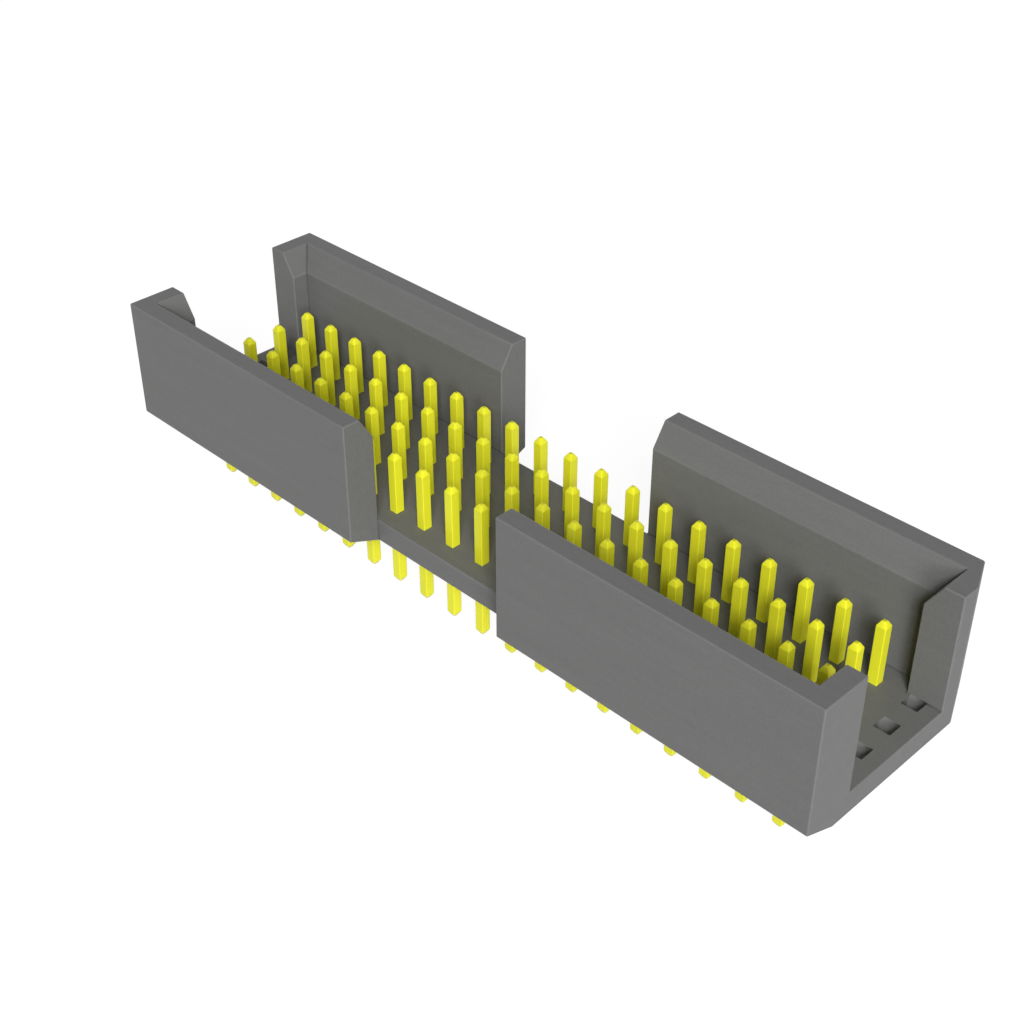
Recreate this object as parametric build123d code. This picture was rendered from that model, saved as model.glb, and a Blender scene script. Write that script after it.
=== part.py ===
"""Shrouded pin header for a circuit board: one moulded housing and its field of square contact pins.

Millimetres, +Z up. The origin is the centre of the housing's underside, which is the plane that sits on the
board: X runs along the rows of contacts, Y from row to row, and the solder tails point down.
"""

import os

from build123d import *

# Contact field
PITCH = 2.54  # from one contact to the next, along a row and from row to row
COLUMNS = 20
ROWS = 4
PIN_SIDE = 0.64  # square wire
PIN_ABOVE_FLOOR = 4.22  # from the cavity's floor to the contact's tip
TAIL_LENGTH = 3.97  # from the housing's underside to the tail's tip
POINT_LENGTH = 0.32  # four-sided point at each end of a pin
POINT_SIDE = 0.26  # flat left at the end of the point
PIN_CLEARANCE = 0.01  # each side of a pin in its cavity

# Housing
HOUSING_HEIGHT = 9.3
FLOOR_THICKNESS = 1.55
WALL = 2.25  # long walls and end walls alike
ROW_TO_WALL = 1.59  # from an outer row's centre line to the long wall's inner face
END_HOLE_TO_END = 1.5  # from the end holes' centre line to the housing's end
END_HOLE_SIDE = 1.04  # empty square holes, one more column at each end
LEAD_IN_WIDTH = 1.0  # slope round the cavity's mouth, measured across the wall's top
LEAD_IN_DEPTH = 1.6
SIDE_GAP = 12.7  # opening in the middle of each long wall
END_OPENING = 8.4  # opening in the middle of each end wall
UNDERSIDE_RISE = 0.95  # slope under each long wall, from the board up to the outer face
KEY_CUT = 1.0  # cut corner that marks one end, measured along X; across, it takes the whole wall

# Worked out from the sizes above
HALF_LENGTH = PITCH * (COLUMNS + 1) / 2 + END_HOLE_TO_END
INNER_HALF_LENGTH = HALF_LENGTH - WALL
INNER_HALF_WIDTH = PITCH * (ROWS - 1) / 2 + ROW_TO_WALL
HALF_WIDTH = INNER_HALF_WIDTH + WALL


def standing(sketch, low, high):
    """The sketch, drawn on the XY plane, as a prism between two heights."""
    return extrude(Pos(0, 0, low) * sketch, high - low)


def bar():
    """The housing's outside, with a slope under each long wall."""
    end_view = Polyline(
        (INNER_HALF_WIDTH, 0),
        (HALF_WIDTH, UNDERSIDE_RISE),
        (HALF_WIDTH, HOUSING_HEIGHT),
        (-HALF_WIDTH, HOUSING_HEIGHT),
        (-HALF_WIDTH, UNDERSIDE_RISE),
        (-INNER_HALF_WIDTH, 0),
        close=True,
    )
    return extrude(Plane.YZ * make_face(end_view), HALF_LENGTH, both=True)


def with_cavity(body):
    """The bar with the space that the plug fills, and the lead-in slope round its mouth."""
    mouth = Rectangle(2 * INNER_HALF_LENGTH, 2 * INNER_HALF_WIDTH)
    tray = body - standing(mouth, FLOOR_THICKNESS, HOUSING_HEIGHT)
    rim = tray.faces().sort_by(Axis.Z)[-1]
    return chamfer(rim.inner_wires()[0].edges(), LEAD_IN_WIDTH, LEAD_IN_DEPTH, reference=rim)


def wall_openings():
    """The openings that leave four L-shaped wall sections: one in each long wall and one in each end."""
    side = Rectangle(SIDE_GAP, WALL)
    end = Rectangle(WALL, END_OPENING)
    side_y = INNER_HALF_WIDTH + WALL / 2
    end_x = INNER_HALF_LENGTH + WALL / 2
    return [
        *(standing(Pos(0, y) * side, 0, HOUSING_HEIGHT) for y in (-side_y, side_y)),
        *(standing(Pos(x, 0) * end, FLOOR_THICKNESS, HOUSING_HEIGHT) for x in (-end_x, end_x)),
    ]


def key_cut():
    """The wedge taken off the corner at +X +Y, over the housing's full height."""
    corner = Polyline(
        (HALF_LENGTH, HALF_WIDTH),
        (HALF_LENGTH - KEY_CUT, HALF_WIDTH),
        (HALF_LENGTH, INNER_HALF_WIDTH),
        close=True,
    )
    return standing(make_face(corner), 0, HOUSING_HEIGHT)


def pin_cavities():
    """Square cavities through the floor, one for each pin."""
    side = PIN_SIDE + 2 * PIN_CLEARANCE
    hole = standing(Rectangle(side, side), 0, FLOOR_THICKNESS)
    return [place * hole for place in GridLocations(PITCH, PITCH, COLUMNS, ROWS)]


def end_holes():
    """The empty square holes, on the contact grid, one column past each end of the field."""
    hole = standing(Rectangle(END_HOLE_SIDE, END_HOLE_SIDE), 0, FLOOR_THICKNESS)
    return [place * hole for place in GridLocations(PITCH * (COLUMNS + 1), PITCH, 2, ROWS)]


def housing():
    """The whole moulding."""
    return with_cavity(bar()) - [*wall_openings(), key_cut(), *pin_cavities(), *end_holes()]


def pin():
    """One contact on the origin's axis: a square wire cut to a four-sided point at each end."""
    wire = standing(Rectangle(PIN_SIDE, PIN_SIDE), -TAIL_LENGTH, FLOOR_THICKNESS + PIN_ABOVE_FLOOR)
    taken_off = (PIN_SIDE - POINT_SIDE) / 2
    for end in (0, -1):
        face = wire.faces().sort_by(Axis.Z)[end]
        wire = chamfer(face.edges(), taken_off, POINT_LENGTH, reference=face)
    return wire.solid()


def pin_column(contact, number):
    """Copies of the contact for one column, counted from 1 at the -X end, as separate solids."""
    x = PITCH * (number - (COLUMNS + 1) / 2)
    places = GridLocations(PITCH, PITCH, 1, ROWS)
    return Compound([Pos(x, 0) * place * contact for place in places])


def main():
    os.makedirs("parts", exist_ok=True)
    export_step(housing(), "parts/housing.step")
    contact = pin()
    for number in range(1, COLUMNS + 1):
        export_step(pin_column(contact, number), f"parts/pins_column_{number:02d}.step")


main()
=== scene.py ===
"""Looks for a shrouded pin header: its moulded housing, its plated contact pins and a plain pale studio."""

from math import cos, pi, radians, sin

import bmesh
import bpy
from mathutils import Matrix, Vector


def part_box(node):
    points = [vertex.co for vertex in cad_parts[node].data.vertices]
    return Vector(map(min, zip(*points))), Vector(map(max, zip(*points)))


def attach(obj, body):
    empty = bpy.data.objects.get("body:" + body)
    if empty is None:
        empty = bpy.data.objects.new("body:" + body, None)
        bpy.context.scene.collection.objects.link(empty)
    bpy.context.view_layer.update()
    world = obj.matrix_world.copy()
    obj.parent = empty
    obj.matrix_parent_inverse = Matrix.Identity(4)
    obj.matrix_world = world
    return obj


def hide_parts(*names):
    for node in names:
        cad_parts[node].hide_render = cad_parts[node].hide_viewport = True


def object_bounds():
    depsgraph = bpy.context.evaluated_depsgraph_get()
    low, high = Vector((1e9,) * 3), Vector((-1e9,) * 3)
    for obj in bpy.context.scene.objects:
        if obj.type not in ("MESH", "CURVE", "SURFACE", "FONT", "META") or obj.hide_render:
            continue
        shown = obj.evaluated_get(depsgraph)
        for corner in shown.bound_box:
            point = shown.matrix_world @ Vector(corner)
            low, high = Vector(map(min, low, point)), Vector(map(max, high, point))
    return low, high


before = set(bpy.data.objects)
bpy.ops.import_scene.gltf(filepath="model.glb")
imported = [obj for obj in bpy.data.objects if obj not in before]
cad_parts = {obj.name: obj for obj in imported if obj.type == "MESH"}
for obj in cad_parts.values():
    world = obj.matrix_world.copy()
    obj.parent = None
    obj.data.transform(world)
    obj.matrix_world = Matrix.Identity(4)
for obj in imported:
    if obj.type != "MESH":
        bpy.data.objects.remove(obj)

bl_info = {
    "name": "Pin Header Looks",
    "version": (1, 0, 0),
    "blender": (4, 5, 0),
    "location": "3D View > Sidebar > Pin Header",
    "description": "Dresses a shrouded pin header: moulded housing, plated contact pins and a pale studio",
    "category": "Object",
}

MM = 0.001
CAD_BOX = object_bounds()
COLUMNS = sorted(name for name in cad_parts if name.startswith("pins_column_"))

# Marks that the faces carry for the materials: lightened outer edges as a painted highlight, darkened inner
# corners as painted shade, and the pins' cut ends
HIGHLIT_ROUNDING = "highlit_rounding"
SHADED_CREASE = "shaded_crease"
SHEARED = "sheared"

# What tells the faces and edges of a copied mesh apart
WELD = 0.002 * MM  # corners that lie nearer than this are one
FLAT_ANGLE = radians(1.0)  # faces that turn by less are one flat face
SHARP_ANGLE = radians(5.0)  # an edge that turns by more gets a radius
LEVEL = 0.99  # a face is level where its normal's upright part is more than this
HOLE_REACH = 0.6 * MM  # the corners of a hole lie within this of its centre, along X and along Y
MOUTH_DEPTH = 0.5 * MM  # an edge of a hole that drops by less runs round its mouth

# The stage
FLOOR_GAP = 0.01 * MM  # from the tips of the solder tails down to the floor
SENSOR_WIDTH = 36.0  # millimetres


def contact_grid():
    """The place of the first column's first pin, and the distance from one pin to the next."""
    low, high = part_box(COLUMNS[0])
    half_side = (high.x - low.x) / 2
    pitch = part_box(COLUMNS[1])[0].x - low.x
    return (low.x + half_side, low.y + half_side), pitch


FIRST_PIN, PITCH = contact_grid()


class HousingSettings(bpy.types.PropertyGroup):
    """Sizes and finish of the moulded housing."""

    edge_radius: bpy.props.FloatProperty(
        name="Edge radius",
        description="Radius that the mould leaves on the housing's edges",
        default=0.08 * MM,
        min=0.01 * MM,
        max=0.2 * MM,
        unit="LENGTH",
    )
    hole_radius: bpy.props.FloatProperty(
        name="Hole edge radius",
        description="Radius round the mouths of the square holes",
        default=0.04 * MM,
        min=0.005 * MM,
        max=0.1 * MM,
        unit="LENGTH",
    )
    colour: bpy.props.FloatVectorProperty(
        name="Plastic",
        description="Colour of the moulded plastic",
        subtype="COLOR",
        size=4,
        default=(0.142, 0.142, 0.141, 1.0),
        min=0.0,
        max=1.0,
    )
    grain: bpy.props.FloatProperty(
        name="Grain",
        description="Width of one speck of the mould's spark-eroded texture",
        default=0.14 * MM,
        unit="LENGTH",
    )
    grain_depth: bpy.props.FloatProperty(
        name="Grain depth",
        description="Height of the mould's texture",
        default=0.014 * MM,
        unit="LENGTH",
    )
    roughness: bpy.props.FloatProperty(
        name="Roughness",
        description="Mean roughness of the plastic",
        default=0.52,
        min=0.0,
        max=1.0,
        subtype="FACTOR",
    )


class ContactSettings(bpy.types.PropertyGroup):
    """Sizes and finish of the contact pins."""

    edge_radius: bpy.props.FloatProperty(
        name="Edge radius",
        description="Radius of the square wire's corners",
        default=0.04 * MM,
        min=0.005 * MM,
        max=0.1 * MM,
        unit="LENGTH",
    )
    colour: bpy.props.FloatVectorProperty(
        name="Plating",
        description="Colour of the bright plating",
        subtype="COLOR",
        size=4,
        default=(0.763, 0.754, 0.028, 1.0),
        min=0.0,
        max=1.0,
    )
    metal: bpy.props.FloatProperty(
        name="Metal",
        description="How far the plating shines as bare metal, from a satin coat at 0 to a mirror's at 1",
        default=0.1,
        min=0.0,
        max=1.0,
        subtype="FACTOR",
    )
    drawn_line: bpy.props.FloatProperty(
        name="Drawn line",
        description="Width of one fine line that drawing leaves along the wire",
        default=0.03 * MM,
        unit="LENGTH",
    )
    roughness: bpy.props.FloatProperty(
        name="Roughness",
        description="Mean roughness of the plating",
        default=0.3,
        min=0.0,
        max=1.0,
        subtype="FACTOR",
    )


class StudioSettings(bpy.types.PropertyGroup):
    """The camera, the lamps and the floor."""

    azimuth: bpy.props.FloatProperty(
        name="Azimuth",
        description="Where the camera stands round the header, from straight in front",
        default=radians(45.0),
        subtype="ANGLE",
    )
    elevation: bpy.props.FloatProperty(
        name="Elevation",
        description="How high the camera stands above the horizon",
        default=radians(35.264),
        subtype="ANGLE",
    )
    distance: bpy.props.FloatProperty(
        name="Distance",
        description="From the camera to the point that it looks at",
        default=99.42 * MM,
        unit="LENGTH",
    )
    target_height: bpy.props.FloatProperty(
        name="Target height",
        description="Height above the board of the point that the camera looks at",
        default=2.64 * MM,
        unit="LENGTH",
    )
    lens: bpy.props.FloatProperty(
        name="Lens",
        description="Focal length, in millimetres on a 36 mm wide sensor",
        default=57.0,
    )
    floor_reach: bpy.props.FloatProperty(
        name="Floor reach",
        description="From the middle of the floor to its edges",
        default=3.0,
        unit="LENGTH",
    )
    background: bpy.props.FloatVectorProperty(
        name="Background",
        description="Colour of the floor and of the studio round it",
        subtype="COLOR",
        size=4,
        default=(1.0, 1.0, 1.0, 1.0),
        min=0.0,
        max=1.0,
    )
    paper: bpy.props.FloatVectorProperty(
        name="Paper",
        description="Colour of the floor as it throws light back at the header",
        subtype="COLOR",
        size=4,
        default=(0.4, 0.4, 0.4, 1.0),
        min=0.0,
        max=1.0,
    )
    floor_glow: bpy.props.FloatProperty(
        name="Floor glow",
        description="Brightness of the floor next to the header as it is seen, before its shadow",
        default=1.39,
        min=0.0,
    )
    shadow: bpy.props.FloatProperty(
        name="Shadow",
        description="Share of the floor's look, next to the header, that still takes light and shadow",
        default=0.35,
        min=0.0,
        max=1.0,
        subtype="FACTOR",
    )
    shadow_reach: bpy.props.FloatProperty(
        name="Shadow reach",
        description="From the header to where the floor takes no more shadow",
        default=0.4,
        unit="LENGTH",
    )
    fill: bpy.props.FloatProperty(
        name="Fill",
        description="Brightness of the studio as it lights the header from all round",
        default=0.07,
        min=0.0,
    )
    front: bpy.props.FloatProperty(
        name="Front lamp",
        description="Brightness that the front lamp gives a white surface facing it",
        default=0.95,
        min=0.0,
    )
    front_place: bpy.props.FloatVectorProperty(
        name="Front lamp's place",
        description="How far round from straight in front, and how high above the horizon",
        size=2,
        default=(radians(45.0), radians(35.0)),
        unit="ROTATION",
    )
    side: bpy.props.FloatProperty(
        name="Side lamp",
        description="Brightness that the side lamp gives a white surface facing it",
        default=0.48,
        min=0.0,
    )
    side_place: bpy.props.FloatVectorProperty(
        name="Side lamp's place",
        description="How far round from straight in front, and how high above the horizon",
        size=2,
        default=(radians(55.0), radians(15.5)),
        unit="ROTATION",
    )
    back: bpy.props.FloatProperty(
        name="Back lamp",
        description="Brightness that the back lamp gives a white surface facing it",
        default=1.1,
        min=0.0,
    )
    back_place: bpy.props.FloatVectorProperty(
        name="Back lamp's place",
        description="How far round from straight in front, and how high above the horizon",
        size=2,
        default=(radians(225.0), radians(3.0)),
        unit="ROTATION",
    )
    lamp_size: bpy.props.FloatProperty(
        name="Lamp size",
        description="Side of each square lamp",
        default=0.2,
        unit="LENGTH",
    )
    lamp_distance: bpy.props.FloatProperty(
        name="Lamp distance",
        description="From each lamp to the header",
        default=0.7,
        unit="LENGTH",
    )


class Value:
    """An output of a node. Each operator on it adds the Math node that it stands for."""

    def __init__(self, shader, socket):
        self.shader = shader
        self.socket = socket

    def beside(self, name):
        """Another output of the node that this one comes from."""
        return Value(self.shader, self.socket.node.outputs[name])

    def math(self, operation, first, second):
        """The result of a Math node."""
        return self.shader.node("ShaderNodeMath", {"operation": operation}, {0: first, 1: second})

    def __add__(self, other):
        return self.math("ADD", self, other)

    def __radd__(self, other):
        return self.math("ADD", other, self)

    def __sub__(self, other):
        return self.math("SUBTRACT", self, other)

    def __rsub__(self, other):
        return self.math("SUBTRACT", other, self)

    def __mul__(self, other):
        return self.math("MULTIPLY", self, other)

    def __rmul__(self, other):
        return self.math("MULTIPLY", other, self)


class Shader:
    """An emptied node tree of a material or the world, with the nodes that this file puts in it."""

    def __init__(self, owner):
        owner.use_nodes = True
        self.tree = owner.node_tree
        self.tree.nodes.clear()

    def node(self, kind, settings=None, sockets=None, out=0):
        """Adds a node: its settings first, then the values or links of its sockets.

        Returns one of its outputs, or nothing where it has none.
        """
        made = self.tree.nodes.new(kind)
        for name, setting in (settings or {}).items():
            setattr(made, name, setting)
        for name, given in (sockets or {}).items():
            if isinstance(given, Value):
                self.tree.links.new(given.socket, made.inputs[name])
            else:
                made.inputs[name].default_value = given
        return Value(self, made.outputs[out]) if made.outputs else None

    def place(self):
        """The point of the surface, in metres from the origin."""
        return self.node("ShaderNodeTexCoord", out="Object")

    def marked(self, name):
        """1 on the faces that carry a mark, 0 elsewhere."""
        return self.node("ShaderNodeAttribute", {"attribute_name": name}, out="Fac")

    def scaled(self, vector, factors):
        """A vector times one number, or times one for each of its three parts."""
        each = factors if isinstance(factors, tuple) else (factors,) * 3
        return self.node("ShaderNodeVectorMath", {"operation": "MULTIPLY"}, {0: vector, 1: each})

    def noise(self, vector, detail=2.0, rough=0.5):
        """Soft noise about one unit wide, from -0.5 to 0.5."""
        sockets = {"Vector": vector, "Scale": 1.0, "Detail": detail, "Roughness": rough}
        return self.node("ShaderNodeTexNoise", None, sockets, "Fac") - 0.5

    def tinted(self, colour, factor):
        """A colour times a factor: lighter above 1, darker below."""
        sockets = {0: tuple(colour)[:3], "Scale": factor}
        return self.node("ShaderNodeVectorMath", {"operation": "SCALE"}, sockets)

    def bump(self, height, distance):
        """The surface's normal over a pattern, in which a step of 1 is distance high."""
        return self.node("ShaderNodeBump", None, {"Height": height, "Distance": distance, "Strength": 1.0})

    def mixed(self, factor, first, second):
        """One shader where the factor is 0 and another where it is 1."""
        return self.node("ShaderNodeMixShader", None, {0: factor, 1: first, 2: second})

    def surface(self, output, shader):
        """Sends a shader to the tree's output."""
        self.node(output, None, {"Surface": shader})


def housing_plastic(settings):
    """Glass-filled moulded plastic: mould texture, faint flow streaks along the housing, smoother edges
    lightened as a painted highlight, inner corners darkened as painted shade.

    In the tone and the roughness, each weight is how much that detail adds or takes away.
    """
    material = bpy.data.materials.new("Moulded plastic")
    shader = Shader(material)
    place = shader.place()
    grain = shader.noise(shader.scaled(place, 1 / settings.grain), rough=0.6)
    streak_length, streak_width = 6 * MM, 0.5 * MM
    streaks = shader.scaled(place, (1 / streak_length, 1 / streak_width, 1 / streak_width))
    flow = shader.noise(streaks, detail=3.0)
    highlit_rounding = shader.marked(HIGHLIT_ROUNDING)
    # Painted shade: the round inner corners come out 0.40 darker in the tone below
    shaded_crease = shader.marked(SHADED_CREASE)
    # Painted highlight: the round outer edges come out 0.10 lighter in the tone below
    tone = 1.0 + 0.14 * flow + 0.24 * grain + 0.10 * highlit_rounding - 0.40 * shaded_crease
    sockets = {
        "Base Color": shader.tinted(settings.colour, tone),
        "Roughness": settings.roughness + 0.16 * grain - 0.08 * highlit_rounding + 0.10 * shaded_crease,
        "IOR": 1.5,
        "Specular IOR Level": 0.2,
        "Normal": shader.bump(grain + 0.3 * flow, settings.grain_depth),
    }
    shader.surface("ShaderNodeOutputMaterial", shader.node("ShaderNodeBsdfPrincipled", None, sockets))
    return material


def contact_plating(settings):
    """Bright plating over drawn square wire: fine lines along it, a slightly different tone on each pin.

    In the tone and the roughness, each weight is how much that detail adds or takes away.
    """
    material = bpy.data.materials.new("Bright plating")
    shader = Shader(material)
    place = shader.place()
    line_length, line_depth = 2.5 * MM, 0.002 * MM
    across = 1 / settings.drawn_line
    lines = shader.noise(shader.scaled(place, (across, across, 1 / line_length)))
    columns = shader.scaled(place, (1 / PITCH, 1 / PITCH, 0.0))
    cell = shader.node("ShaderNodeVectorMath", {"operation": "FLOOR"}, {0: columns})
    noise = shader.node("ShaderNodeTexWhiteNoise", {"noise_dimensions": "3D"}, {"Vector": cell}, "Value")
    each_pin = noise - 0.5
    highlit_rounding = shader.marked(HIGHLIT_ROUNDING)
    sheared = shader.marked(SHEARED)
    # Painted highlight: the pins' round corners come out 0.04 lighter in the tone below
    tone = 1.0 + 0.06 * lines + 0.05 * each_pin + 0.04 * highlit_rounding - 0.14 * sheared
    sockets = {
        "Base Color": shader.tinted(settings.colour, tone),
        "Metallic": settings.metal,
        "Specular IOR Level": 0.2,
        "Roughness": settings.roughness + 0.12 * lines + 0.04 * each_pin + 0.2 * sheared,
        "Normal": shader.bump(lines, line_depth),
    }
    shader.surface("ShaderNodeOutputMaterial", shader.node("ShaderNodeBsdfPrincipled", None, sockets))
    return material


def flat_faced_copy(node):
    """A bmesh of a CAD node, its loose triangles merged into whole flat faces."""
    form = bmesh.new()
    form.from_mesh(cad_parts[node].data)
    for name in (HIGHLIT_ROUNDING, SHADED_CREASE, SHEARED):
        form.faces.layers.float.new(name)
    bmesh.ops.remove_doubles(form, verts=form.verts, dist=WELD)
    bmesh.ops.dissolve_limit(form, angle_limit=FLAT_ANGLE, verts=form.verts, edges=form.edges)
    return form


def mark_face(form, face, name, amount=1.0):
    """Gives a face of a bmesh a mark that the materials read."""
    face[form.faces.layers.float[name]] = amount


def round_edges(form, edges, radius, segments):
    """Rounds some edges of a bmesh, and marks the new faces: on outer edges for a painted highlight, in
    inner corners for painted shade.
    """
    made = bmesh.ops.bevel(
        form,
        geom=edges,
        offset=radius,
        offset_type="OFFSET",
        affect="EDGES",
        segments=segments,
        profile=0.5,
        material=-1,
        clamp_overlap=True,
    )
    form.normal_update()
    for face in made["faces"]:
        bulge = sum(edge.calc_length() * (1 if edge.is_convex else -1) for edge in face.edges)
        mark_face(form, face, HIGHLIT_ROUNDING if bulge > 0 else SHADED_CREASE)
    bmesh.ops.remove_doubles(form, verts=form.verts, dist=WELD)


def mark_sheared_ends(form):
    """Marks the small flats at a pin's two ends, where the wire was cut off."""
    for face in form.faces:
        mark_face(form, face, SHEARED, float(abs(face.normal.z) > LEVEL))


def sharp_edges(form):
    """The edges between two faces that make a corner."""
    return [edge for edge in form.edges if edge.is_manifold and edge.calc_face_angle() > SHARP_ANGLE]


def hole_of(edge):
    """The column and row of the hole that an edge belongs to, counted from the first pin, or None."""
    cells = set()
    for vertex in edge.verts:
        steps = [(place - first) / PITCH for place, first in zip(vertex.co, FIRST_PIN)]
        if any(abs(step - round(step)) * PITCH > HOLE_REACH for step in steps):
            return None
        cells.add(tuple(round(step) for step in steps))
    return cells.pop() if len(cells) == 1 else None


def is_mouth(edge):
    """Whether an edge runs round the top or bottom of a hole."""
    first, second = (vertex.co.z for vertex in edge.verts)
    return bool(hole_of(edge)) and abs(first - second) < MOUTH_DEPTH


def finished_piece(form, name, material, node):
    """Makes the bmesh an object in the scene that stands for a CAD node."""
    for face in form.faces:
        face.smooth = True
    mesh = bpy.data.meshes.new(name)
    form.to_mesh(mesh)
    form.free()
    mesh.materials.append(material)
    piece = bpy.data.objects.new(name, mesh)
    bpy.context.scene.collection.objects.link(piece)
    flats = piece.modifiers.new("Flat faces stay flat", "WEIGHTED_NORMAL")
    flats.weight = 100  # the most: at an edge, the larger face's normal holds
    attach(piece, "root")
    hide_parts(node)
    return piece


def direction(azimuth, elevation):
    """The way to a point, by how far round it is from straight in front and how high."""
    level = cos(elevation)
    return Vector((sin(azimuth) * level, -cos(azimuth) * level, sin(elevation)))


def seen(shader):
    """1 for rays from the camera, from gloss and through glass, 0 for the rays that carry light."""
    path = shader.node("ShaderNodeLightPath")
    total = path.beside("Is Camera Ray") + path.beside("Is Glossy Ray") + path.beside("Is Transmission Ray")
    return total.math("MINIMUM", total, 1.0)


def floor(settings):
    """A plain pale floor that carries the header on its solder tails."""
    form = bmesh.new()
    bmesh.ops.create_grid(form, x_segments=1, y_segments=1, size=settings.floor_reach)
    bmesh.ops.translate(form, verts=form.verts, vec=(0, 0, CAD_BOX[0].z - FLOOR_GAP))
    mesh = bpy.data.meshes.new("floor")
    form.to_mesh(mesh)
    form.free()
    mesh.materials.append(floor_paper(settings))
    made = bpy.data.objects.new("floor", mesh)
    bpy.context.scene.collection.objects.link(made)


def floor_paper(settings):
    """Pale paper: seen at its own colour, less a share near the header that still takes its shadow."""
    material = bpy.data.materials.new("Pale paper")
    shader = Shader(material)
    away = shader.node("ShaderNodeVectorMath", {"operation": "LENGTH"}, {0: shader.place()}, "Value")
    fade = {"Value": away, "From Min": 0.0, "From Max": settings.shadow_reach, "To Min": 1.0, "To Max": 0.0}
    near = shader.node("ShaderNodeMapRange", {"clamp": True}, fade, "Result")
    paper = shader.node("ShaderNodeBsdfDiffuse", None, {"Color": settings.paper})
    glows = (
        shader.node("ShaderNodeEmission", None, {"Color": settings.background, "Strength": strength})
        for strength in (1.0, settings.floor_glow)
    )
    share = seen(shader) * (1.0 - settings.shadow * near)
    shader.surface("ShaderNodeOutputMaterial", shader.mixed(share, paper, shader.mixed(near, *glows)))
    return material


def studio_world(settings):
    """An even pale studio, seen at its own colour and dimmer as a light."""
    world = bpy.data.worlds.new("Pale studio")
    bpy.context.scene.world = world
    shader = Shader(world)
    lights = (
        shader.node("ShaderNodeBackground", None, {"Color": settings.background, "Strength": strength})
        for strength in (settings.fill, 1.0)
    )
    shader.surface("ShaderNodeOutputWorld", shader.mixed(seen(shader), *lights))


def lamp(name, settings, brightness, angles):
    """A square soft lamp that aims at the header and lights a white surface facing it to that brightness.

    Gloss shows the pale studio and not the lamp, whose glare would whiten the rims from a low angle.
    """
    data = bpy.data.lights.new(name, "AREA")
    data.shape = "SQUARE"
    data.size = settings.lamp_size
    full_power = (pi * settings.lamp_distance) ** 2  # lights such a surface to a brightness of 1
    data.energy = brightness * full_power
    made = bpy.data.objects.new(name, data)
    way = direction(*angles)
    made.location = way * settings.lamp_distance
    made.rotation_euler = (-way).to_track_quat("-Z", "Y").to_euler()
    made.visible_glossy = False
    bpy.context.scene.collection.objects.link(made)


def camera(settings):
    """The camera, at the angle and distance of the reference view."""
    data = bpy.data.cameras.new("camera")
    data.lens = settings.lens
    data.sensor_width = SENSOR_WIDTH
    data.clip_start = settings.distance / 20  # the header is nearer than Blender's usual near limit
    data.clip_end = 10 * settings.floor_reach
    made = bpy.data.objects.new("camera", data)
    made.location = direction(settings.azimuth, settings.elevation) * settings.distance
    made.location.z += settings.target_height
    made.rotation_euler = (radians(90.0) - settings.elevation, 0.0, settings.azimuth)
    bpy.context.scene.collection.objects.link(made)
    return made


class PINHEADER_OT_housing(bpy.types.Operator):
    """Rounds the housing's edges and gives it its moulded plastic"""

    bl_idname = "pin_header.housing"
    bl_label = "Moulded Housing"
    bl_options = {"REGISTER", "UNDO"}

    def execute(self, context):
        settings = context.scene.pin_header_housing
        form = flat_faced_copy("housing")
        outer = [edge for edge in sharp_edges(form) if not hole_of(edge)]
        round_edges(form, outer, settings.edge_radius, segments=3)
        mouths = [edge for edge in sharp_edges(form) if is_mouth(edge)]
        round_edges(form, mouths, settings.hole_radius, segments=1)
        finished_piece(form, "housing_moulding", housing_plastic(settings), "housing")
        return {"FINISHED"}


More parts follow.
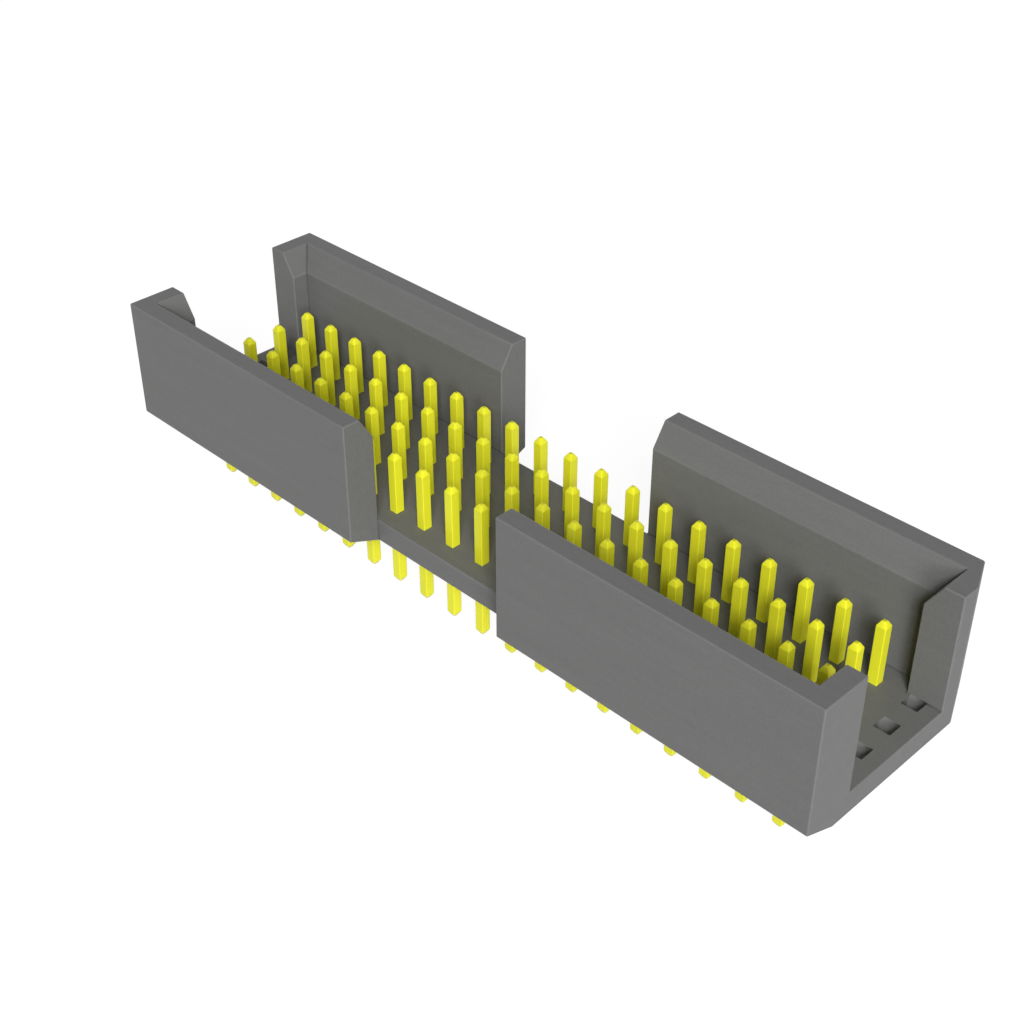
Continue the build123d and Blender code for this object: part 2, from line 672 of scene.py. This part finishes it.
class PINHEADER_OT_contacts(bpy.types.Operator):
    """Rounds the corners of the contact pins and plates them"""

    bl_idname = "pin_header.contacts"
    bl_label = "Contact Pins"
    bl_options = {"REGISTER", "UNDO"}

    def execute(self, context):
        settings = context.scene.pin_header_contacts
        plating = contact_plating(settings)
        for node in COLUMNS:
            form = flat_faced_copy(node)
            round_edges(form, sharp_edges(form), settings.edge_radius, segments=2)
            mark_sheared_ends(form)
            finished_piece(form, node.replace("pins", "contacts"), plating, node)
        return {"FINISHED"}


class PINHEADER_OT_studio(bpy.types.Operator):
    """Adds the pale floor, the soft lamps, the world and the camera"""

    bl_idname = "pin_header.studio"
    bl_label = "Studio"
    bl_options = {"REGISTER", "UNDO"}

    def execute(self, context):
        settings = context.scene.pin_header_studio
        floor(settings)
        studio_world(settings)
        for name in ("front", "side", "back"):
            lamp(f"{name}_lamp", settings, getattr(settings, name), getattr(settings, f"{name}_place"))
        context.scene.camera = camera(settings)
        context.scene.view_settings.view_transform = "Standard"
        return {"FINISHED"}


class PINHEADER_PT_sidebar(bpy.types.Panel):
    """The header's settings and operators"""

    bl_idname = "PINHEADER_PT_sidebar"
    bl_label = "Pin Header"
    bl_space_type = "VIEW_3D"
    bl_region_type = "UI"
    bl_category = "Pin Header"

    def draw(self, context):
        for operator, settings, _ in STEPS:
            box = self.layout.box()
            group = getattr(context.scene, settings)
            for name in group.bl_rna.properties.keys():
                if name not in {"rna_type", "name"}:
                    box.prop(group, name)
            box.operator(operator)


# Each step of the dressing: its operator, its settings' name on the scene, and their class
STEPS = (
    ("pin_header.housing", "pin_header_housing", HousingSettings),
    ("pin_header.contacts", "pin_header_contacts", ContactSettings),
    ("pin_header.studio", "pin_header_studio", StudioSettings),
)
CLASSES = (
    HousingSettings,
    ContactSettings,
    StudioSettings,
    PINHEADER_OT_housing,
    PINHEADER_OT_contacts,
    PINHEADER_OT_studio,
    PINHEADER_PT_sidebar,
)


def register():
    for each in CLASSES:
        bpy.utils.register_class(each)
    for _, settings, group in STEPS:
        setattr(bpy.types.Scene, settings, bpy.props.PointerProperty(type=group))


def unregister():
    for _, settings, _ in STEPS:
        delattr(bpy.types.Scene, settings)
    for each in reversed(CLASSES):
        bpy.utils.unregister_class(each)


def main():
    """Dresses the header."""
    register()
    bpy.ops.pin_header.housing()
    bpy.ops.pin_header.contacts()
    bpy.ops.pin_header.studio()


if __name__ == "__main__":
    main()
